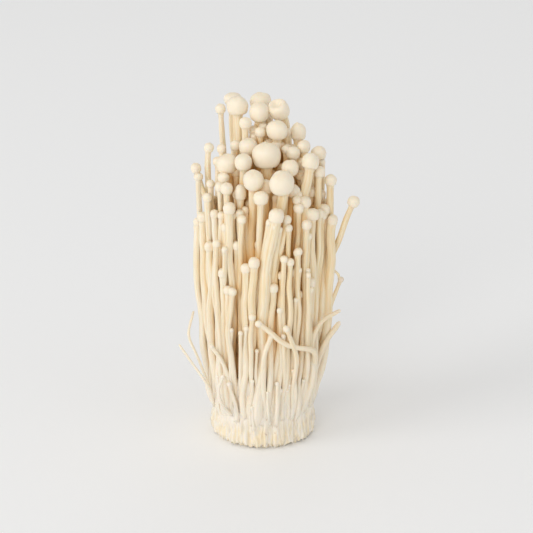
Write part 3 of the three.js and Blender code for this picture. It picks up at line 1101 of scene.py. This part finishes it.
def rib_and_felt(piece, base):
    """Draws the band's upright ribs, the ragged cut and the felt's unevenness into the base's surface."""
    count = len(piece.data.vertices)
    co = np.zeros(count * 3)
    piece.data.vertices.foreach_get("co", co)
    co = co.reshape(-1, 3)
    normals = np.zeros(count * 3)
    piece.data.vertices.foreach_get("normal", normals)
    normals = normals.reshape(-1, 3)
    outside = smoothstep(0.80, 0.93, np.linalg.norm(co[:, :2], axis=1) / BASE_RADIUS)
    band = (1 - smoothstep(base.band * 0.7, base.band * 1.25, co[:, 2])) * outside
    moved = co.copy()
    for i in range(count):
        x, y, z = co[i]
        soft = bumps((x, y, z), 2.2) * 0.16 + bumps((x, y, z), 0.8) * 0.07
        rib = bumps((x, y, z * 0.1), 1.1) + 0.5 * bumps((x, y, z * 0.16), 0.55)
        deep = soft * MM + band[i] * base.ribs * rib
        moved[i] += normals[i] * deep
    ragged = np.array([bumps((x, y, 0), 1.6) for x, y, _ in co])
    low = (1 - smoothstep(0, 3.2 * MM, co[:, 2])) * outside
    moved[:, :2] *= (1 - low * 0.035 * (0.6 + ragged))[:, None]
    moved[:, 2] += low * 2.6 * MM * np.clip(ragged + 0.1, 0, None)
    moved[:, 2] = np.maximum(moved[:, 2], 0)
    set_places(piece.data, moved)


def model_threads(base):
    """Loose threads of felt that stand off the base, and torn fibres along the cut."""
    luck = chance("threads")
    body = bpy.data.objects["felted_base"]
    co = np.zeros(len(body.data.vertices) * 3)
    body.data.vertices.foreach_get("co", co)
    normals = np.zeros(len(co))
    body.data.vertices.foreach_get("normal", normals)
    co, normals = co.reshape(-1, 3), normals.reshape(-1, 3)
    outer = np.linalg.norm(co[:, :2], axis=1) > BASE_RADIUS * 0.78
    sideways = np.abs(normals[:, 2]) < 0.75
    pool = np.flatnonzero(outer & sideways & (co[:, 2] > 1.2 * MM))
    verts, faces = [], []
    for i in luck.choice(pool, min(base.threads, len(pool)), replace=False):
        start, out = co[i], normals[i]
        torn = start[2] < 3.5 * MM
        length = luck.uniform(0.8, 2.4 if torn else 1.9) * MM
        droop = -0.9 if torn else luck.uniform(-0.8, 0.9)
        lean = unit(out * 0.55 + np.array([0, 0, droop]) + luck.normal(0, 0.4, 3))
        bend = unit(lean + luck.normal(0, 0.5, 3) + np.array([0, 0, -0.2]))
        thick = luck.uniform(0.035, 0.075 if not torn else 0.16) * MM
        side = unit(np.cross(lean, luck.normal(0, 1, 3)))
        other = np.cross(lean, side)
        middle = start + lean * length * 0.5
        path = [start - out * 0.2 * MM, middle, middle + bend * length * 0.5]
        first = len(verts)
        for point, width in zip(path[:2], (1.0, 0.8)):
            for turn in range(3):
                a = turn * 2 * math.pi / 3
                verts.append(point + thick * width * (math.cos(a) * side + math.sin(a) * other))
        verts.append(path[2])
        for turn in range(3):
            nxt = (turn + 1) % 3
            faces.append((first + turn, first + nxt, first + 3 + nxt, first + 3 + turn))
            faces.append((first + 3 + turn, first + 3 + nxt, first + 6))
        faces.append((first + 2, first + 1, first))
    verts = np.array(verts)
    verts[:, 2] = np.maximum(verts[:, 2], 0.0)
    mesh = bpy.data.meshes.new("felt_threads")
    mesh.from_pydata(verts.tolist(), [], faces)
    piece = bpy.data.objects.new("felt_threads", mesh)
    bpy.context.scene.collection.objects.link(piece)
    return piece


# ---------------------------------------------------------------- how much light reaches each place, for the shade painted into the flesh colour


CELL = 1.25 * MM  # of the grid that light is followed through
MARGIN = 12 * MM  # of the grid round the bunch
DARKENING = 0.34  # how much light a full cell takes
RAY_STEP = 1.6  # cells from one place on a ray to the next
RAY_STEPS = 10
SKY = ((0.1, 12), (0.75, 8), (1.5, 1))  # how steep the rays are, in radians, and how many go round


def light_grid():
    """How open each cell round the bunch is to light from the sides and above, and the grid's low corner."""
    low = np.array(CAD_BOX[0]) - MARGIN
    size = np.ceil((np.array(CAD_BOX[1]) + MARGIN - low) / CELL).astype(int)
    full = np.zeros(size)
    steps = np.linspace(-0.9, 0.9, 9)
    ball = np.array([place for place in itertools.product(steps, repeat=3) if np.linalg.norm(place) < 0.95])
    asides = [np.array([math.cos(a), math.sin(a), 0]) for a in np.arange(6) * math.pi / 3]
    for m in [m for group in GROWN.values() for m in group]:
        run = np.linalg.norm(np.diff(m.points, axis=0), axis=1).sum()
        line = through(m.points, max(4, int(run / MM)))
        head = m.points[-1] + m.way * m.tall / 2
        stem = [line + aside * m.stem * 0.6 for aside in asides]
        for places in stem + [head + ball * m.cap]:
            cells = np.clip(((places - low) / CELL).astype(int), 0, size - 1)
            full[tuple(cells.T)] = 1
    open_sky = np.zeros(size)
    ways = [(turn * 2 * math.pi / count, tilt) for tilt, count in SKY for turn in range(count)]
    for angle, tilt in ways:
        way = np.array([math.cos(angle) * math.cos(tilt), math.sin(angle) * math.cos(tilt), math.sin(tilt)])
        met = np.zeros(size)
        for step in range(1, RAY_STEPS + 1):
            shift = np.round(way * step * RAY_STEP).astype(int)
            here = tuple(slice(max(0, -d), n - max(0, d)) for d, n in zip(shift, size))
            there = tuple(slice(max(0, d), n + min(0, d)) for d, n in zip(shift, size))
            met[here] += full[there]
        open_sky += np.exp(-DARKENING * RAY_STEP * met) / len(ways)
    return open_sky, low


def paint_shade_by_depth(piece, open_sky, low):
    """Writes how deep each vertex stands in the bunch, as painted shade for the flesh colour: 0 in the open,
    1 where hardly any light comes in.
    """
    count = len(piece.data.vertices)
    co, normals = np.zeros(count * 3), np.zeros(count * 3)
    piece.data.vertices.foreach_get("co", co)
    piece.data.vertices.foreach_get("normal", normals)
    outside = (co + normals * 1.1 * MM).reshape(-1, 3)
    at = (outside - low) / CELL - 0.5
    cell = np.floor(at).astype(int)
    part = at - cell
    light = np.zeros(count)
    for corner in np.ndindex(2, 2, 2):
        share = np.prod(np.where(corner, part, 1 - part), axis=1)
        there = np.clip(cell + corner, 0, np.array(open_sky.shape) - 1)
        light += share * open_sky[tuple(there.T)]
    set_value(piece.data, "deep", 1 - smoothstep(0.03, 0.5, light))


# ---------------------------------------------------------------- operators


class ENOKI_OT_finishes(Operator):
    """Makes the finishes that the pieces share"""

    bl_idname = "enoki.finishes"
    bl_label = "Finishes"

    def execute(self, context):
        flesh_finish(context.scene.enoki_colours)
        base_finish(context.scene.enoki_colours)
        return {"FINISHED"}


class ENOKI_OT_crown(Operator):
    """Models the mushrooms of the crown"""

    bl_idname = "enoki.crown"
    bl_label = "Crown mushrooms"

    def execute(self, context):
        grow_from_frame("crown_mushroom")
        return {"FINISHED"}


class ENOKI_OT_front(Operator):
    """Models the shorter mushrooms of the front and the sides"""

    bl_idname = "enoki.front"
    bl_label = "Front mushrooms"

    def execute(self, context):
        grow_from_frame("front_mushroom")
        return {"FINISHED"}


class ENOKI_OT_back(Operator):
    """Models the mushrooms of the back"""

    bl_idname = "enoki.back"
    bl_label = "Back mushrooms"

    def execute(self, context):
        grow_from_frame("back_mushroom")
        return {"FINISHED"}


class ENOKI_OT_extra(Operator):
    """Sets the smaller mushrooms of the crown between the large ones"""

    bl_idname = "enoki.extra"
    bl_label = "Smaller crown mushrooms"

    def execute(self, context):
        model_group(grow_under("extra", EXTRA), "small_crown_mushrooms", 4)
        return {"FINISHED"}


class ENOKI_OT_inner(Operator):
    """Fills the inside of the bunch with mushrooms that reach up among the crown's"""

    bl_idname = "enoki.inner"
    bl_label = "Inner mushrooms"

    def execute(self, context):
        def height(start, luck):
            return crown_height(start) * (0.98 - 0.26 * luck.uniform(0, 1) ** 1.4)

        found = grow_between("inner", context.scene.enoki_growth.inner, (0, 0.9), (0, 360),
                             (1.2 * MM, 2.0 * MM), (1.15, 1.6), height)
        model_group(found, "inner_mushrooms", 4)
        return {"FINISHED"}


class ENOKI_OT_rim(Operator):
    """Stands half-grown mushrooms round the back and the sides"""

    bl_idname = "enoki.rim"
    bl_label = "Rim mushrooms"

    def execute(self, context):
        def height(start, luck):
            return crown_height(start) * luck.uniform(0.45, 0.9)

        found = grow_between("rim", context.scene.enoki_growth.rim, (0.84, 0.92), (15, 165),
                             (1.0 * MM, 1.5 * MM), (1.2, 1.6), height)
        model_group(found, "rim_mushrooms", 4)
        return {"FINISHED"}


class ENOKI_OT_young(Operator):
    """Scatters young pins round the foot of the bunch, and places those at the front"""

    bl_idname = "enoki.young"
    bl_label = "Young pins"

    def execute(self, context):
        def height(start, luck):
            at_back = start[1] > -0.3 * BASE_RADIUS
            return BASE_TOP + luck.uniform(6, 46 if at_back else 16) * MM

        found = grow_between("young", context.scene.enoki_growth.young, (0.84, 0.93), (0, 360),
                             (0.55 * MM, 0.9 * MM), (1.02, 1.35), height)
        placed = [Pin(f"placed_pin_{i + 1:02d}", *pin) for i, pin in enumerate(PINS)]
        GROWN["young"] += placed
        model_group(found + placed, "young_pins", 4)
        return {"FINISHED"}


class ENOKI_OT_wisps(Operator):
    """Lays the thin, bent mushrooms that stray from the bunch"""

    bl_idname = "enoki.wisps"
    bl_label = "Wisps"

    def execute(self, context):
        placed = [Pin(f"wisp_{i + 1:02d}", *wisp) for i, wisp in enumerate(WISPS)]
        GROWN["wisps"] += placed
        model_group(placed, "wisps", 1)
        return {"FINISHED"}


class ENOKI_OT_base(Operator):
    """Models the cut base and fuses every foot into it"""

    bl_idname = "enoki.base"
    bl_label = "Cut base"

    def execute(self, context):
        base = context.scene.enoki_base
        rooted = [m for group in GROWN.values() for m in group if m.points[0][2] < BASE_TOP + 12 * MM]
        feet = [model_foot(m, base) for m in rooted]
        body = join([model_core()] + feet, "felted_base")
        apply_modifier(body, "REMESH", mode="VOXEL", voxel_size=base.grain)
        apply_modifier(body, "SMOOTH", factor=0.5, iterations=4)
        rib_and_felt(body, base)
        finish_mushroom(body, bpy.data.materials["Base felt"])
        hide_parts("cut_base")
        return {"FINISHED"}


class ENOKI_OT_threads(Operator):
    """Adds the loose threads of felt and the torn fibres"""

    bl_idname = "enoki.threads"
    bl_label = "Felt threads"

    def execute(self, context):
        piece = model_threads(context.scene.enoki_base)
        finish_mushroom(piece, bpy.data.materials["Base felt"])
        return {"FINISHED"}


class ENOKI_OT_painted_shade(Operator):
    """Marks how deep in the bunch the flesh stands, to paint shade into its colour where little light comes
    in
    """

    bl_idname = "enoki.depth"
    bl_label = "Depth"

    def execute(self, context):
        open_sky, low = light_grid()
        for piece in bpy.data.objects:
            if piece.type == "MESH" and "Mushroom flesh" in piece.data.materials:
                paint_shade_by_depth(piece, open_sky, low)
        return {"FINISHED"}


class ENOKI_OT_stage(Operator):
    """Lays the floor and sets the camera, the lamps and the surroundings"""

    bl_idname = "enoki.stage"
    bl_label = "Stage"

    def execute(self, context):
        stage = context.scene.enoki_stage
        deselect()
        bpy.ops.mesh.primitive_plane_add(size=8, location=(0, 0, -0.05))
        floor = context.object
        floor.name = "floor"
        bpy.ops.object.mode_set(mode="EDIT")
        bpy.ops.mesh.extrude_region_move(TRANSFORM_OT_translate={"value": (0, 0, 0.05)})
        bpy.ops.mesh.select_all(action="SELECT")
        bpy.ops.mesh.normals_make_consistent(inside=False)
        bpy.ops.object.mode_set(mode="OBJECT")
        activate(floor)
        bpy.ops.object.transform_apply(location=True, rotation=False, scale=False)
        floor.data.materials.append(floor_finish(stage.floor))

        target = Vector((1.5, 0, 74.6)) * MM
        back = Vector((0, -math.cos(stage.elevation), math.sin(stage.elevation)))
        data = bpy.data.cameras.new("camera")
        data.lens = stage.lens
        data.sensor_width = 36
        data.clip_start = 0.05
        camera = bpy.data.objects.new("camera", data)
        camera.location = target + back * stage.distance
        camera.rotation_euler = (math.pi / 2 - stage.elevation, 0, 0)
        context.scene.collection.objects.link(camera)
        context.scene.camera = camera

        def lamp(name, place, size, power):
            light = bpy.data.lights.new(name, "AREA")
            light.shape = "DISK"
            light.size = size
            light.energy = power
            holder = bpy.data.objects.new(name, light)
            holder.location = place
            holder.rotation_euler = (target - Vector(place)).to_track_quat("-Z", "Y").to_euler()
            context.scene.collection.objects.link(holder)

        lamp("key_lamp", (-2.3, -1.1, 1.4), 1.6, stage.key)
        lamp("front_lamp", (-0.8, -2.3, 1.1), 1.4, stage.front)
        lamp("fill_lamp", (0.95, -0.6, 0.45), 0.9, stage.fill)
        lamp("back_lamp", (0.2, 1.0, 0.9), 0.8, stage.fill)

        world = bpy.data.worlds.new("surroundings")
        world.use_nodes = True
        background = world.node_tree.nodes["Background"]
        background.inputs["Color"].default_value = (1, 1, 1, 1)
        background.inputs["Strength"].default_value = stage.sky
        context.scene.world = world
        context.scene.view_settings.view_transform = "Standard"
        return {"FINISHED"}


class ENOKI_PT_panel(Panel):
    """The cluster's settings and steps"""

    bl_idname = "ENOKI_PT_panel"
    bl_label = "Enoki cluster"
    bl_space_type = "VIEW_3D"
    bl_region_type = "UI"
    bl_category = "Enoki"

    def draw(self, context):
        layout = self.layout
        for name, _ in SETTINGS:
            box = layout.box()
            group = getattr(context.scene, name)
            for key in group.bl_rna.properties.keys():
                if key not in ("rna_type", "name"):
                    box.prop(group, key)
        for step in STEPS:
            layout.operator(step.bl_idname)


SETTINGS = (
    ("enoki_shape", EnokiShape),
    ("enoki_base", EnokiBase),
    ("enoki_growth", EnokiGrowth),
    ("enoki_colours", EnokiColours),
    ("enoki_stage", EnokiStage),
)
STEPS = (
    ENOKI_OT_finishes,
    ENOKI_OT_crown,
    ENOKI_OT_front,
    ENOKI_OT_back,
    ENOKI_OT_extra,
    ENOKI_OT_inner,
    ENOKI_OT_rim,
    ENOKI_OT_young,
    ENOKI_OT_wisps,
    ENOKI_OT_base,
    ENOKI_OT_threads,
    ENOKI_OT_painted_shade,
    ENOKI_OT_stage,
)


def register():
    for name, group in SETTINGS:
        bpy.utils.register_class(group)
        setattr(bpy.types.Scene, name, PointerProperty(type=group))
    for step in STEPS:
        bpy.utils.register_class(step)
    bpy.utils.register_class(ENOKI_PT_panel)


def unregister():
    bpy.utils.unregister_class(ENOKI_PT_panel)
    for step in reversed(STEPS):
        bpy.utils.unregister_class(step)
    for name, group in reversed(SETTINGS):
        delattr(bpy.types.Scene, name)
        bpy.utils.unregister_class(group)


def main():
    register()
    for step in STEPS:
        family, action = step.bl_idname.split(".")
        getattr(getattr(bpy.ops, family), action)()
    clear_patterns()


if __name__ == "__main__":
    main()
